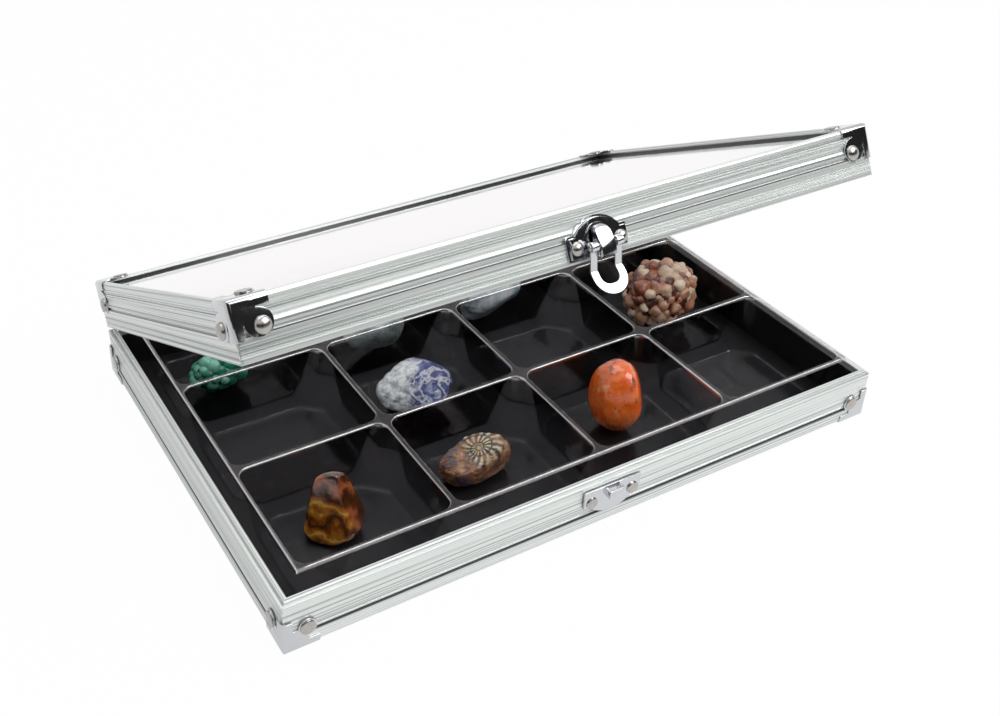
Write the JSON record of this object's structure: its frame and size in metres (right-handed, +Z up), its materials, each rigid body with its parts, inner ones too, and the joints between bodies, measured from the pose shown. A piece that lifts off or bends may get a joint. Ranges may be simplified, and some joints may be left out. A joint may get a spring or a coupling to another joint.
{
  "type": "mineral specimen box",
  "caption": "Shallow aluminium display case with a hinged glazed lid, chromed corners, a front draw latch and a clear divided tray holding loose mineral specimens.",
  "frame": {"origin": "centre of the underside of the bottom board, on the plane the case stands on", "axes": "+X to the right along the front, +Y to the hinge side, +Z up; the latch is at -Y"},
  "size_m": [0.3508, 0.2524, 0.1595],
  "materials": {
    "frame_aluminium": "satin anodised",
    "bright_chrome": "bright plated steel",
    "black_board": "matt black board",
    "black_lining": "matt black card",
    "black_seal": "matt black",
    "clear_tray": "clear thermoformed sheet",
    "clear_pane": "clear polished",
    "tiger_eye_stone": null,
    "ammonite_stone": null,
    "jasper_stone": null,
    "sodalite_stone": null,
    "aragonite_stone": null,
    "malachite_stone": null,
    "fluorite_stone": null,
    "prehnite_stone": null
  },
  "bodies": {
    "base": {"base_rail_front": "frame_aluminium", "base_rail_back": "frame_aluminium", "base_rail_left": "frame_aluminium", "base_rail_right": "frame_aluminium", "bottom_board": "black_board", "base_lining": "black_lining", "specimen_tray": "clear_tray", "base_corner_front_left": "bright_chrome", "base_corner_front_right": "bright_chrome", "base_corner_back_left": "bright_chrome", "base_corner_back_right": "bright_chrome", "base_corner_rivets": "bright_chrome", "strike_plate": "bright_chrome", "strike_rivets": "bright_chrome", "hinge_leaf_base_left": "bright_chrome", "hinge_leaf_base_right": "bright_chrome", "hinge_rivets_base": "bright_chrome", "hinge_pin_left": "bright_chrome", "hinge_pin_right": "bright_chrome", "specimen_tiger_eye": "tiger_eye_stone", "specimen_ammonite": "ammonite_stone", "specimen_jasper": "jasper_stone", "specimen_sodalite": "sodalite_stone", "specimen_aragonite": "aragonite_stone", "specimen_malachite": "malachite_stone", "specimen_fluorite": "fluorite_stone", "specimen_prehnite": "prehnite_stone"},
    "lid": {"lid_rail_front": "frame_aluminium", "lid_rail_back": "frame_aluminium", "lid_rail_left": "frame_aluminium", "lid_rail_right": "frame_aluminium", "lid_pane": "clear_pane", "pane_seal": "black_seal", "lid_corner_front_left": "bright_chrome", "lid_corner_front_right": "bright_chrome", "lid_corner_back_left": "bright_chrome", "lid_corner_back_right": "bright_chrome", "lid_corner_rivets": "bright_chrome", "hinge_leaf_lid_left": "bright_chrome", "hinge_leaf_lid_right": "bright_chrome", "hinge_rivets_lid": "bright_chrome", "latch_plate": "bright_chrome", "latch_rivets": "bright_chrome", "lever_pin": "bright_chrome"},
    "latch_lever": {"latch_lever": "bright_chrome"},
    "loop_pin": {"loop_pin": "bright_chrome"},
    "latch_loop": {"latch_loop": "bright_chrome"}
  },
  "joints": [
    {"name": "lid_hinge", "type": "hinge", "parent": "base", "child": "lid", "pos_m": [0, 0.1205, 0.02795], "axis": [-1, 0, 0], "range_deg": [-27, 70]},
    {"name": "lever_pivot", "type": "hinge", "parent": "lid", "child": "latch_lever", "pos_m": [0, -0.09543, 0.14117], "axis": [1, 0, 0], "range_deg": [0, 115]},
    {"name": "pin_turn", "type": "hinge", "parent": "latch_lever", "child": "loop_pin", "pos_m": [0, -0.09473, 0.14519], "axis": [1, 0, 0], "range_deg": [-115, 0]},
    {"name": "loop_swing", "type": "hinge", "parent": "loop_pin", "child": "latch_loop", "pos_m": [0, -0.09473, 0.14519], "axis": [-1, 0, 0], "range_deg": [-6.85, 75]}
  ],
  "couplings": [
    {"joint": "pin_turn", "follows": "lever_pivot", "ratio": -1}
  ]
}
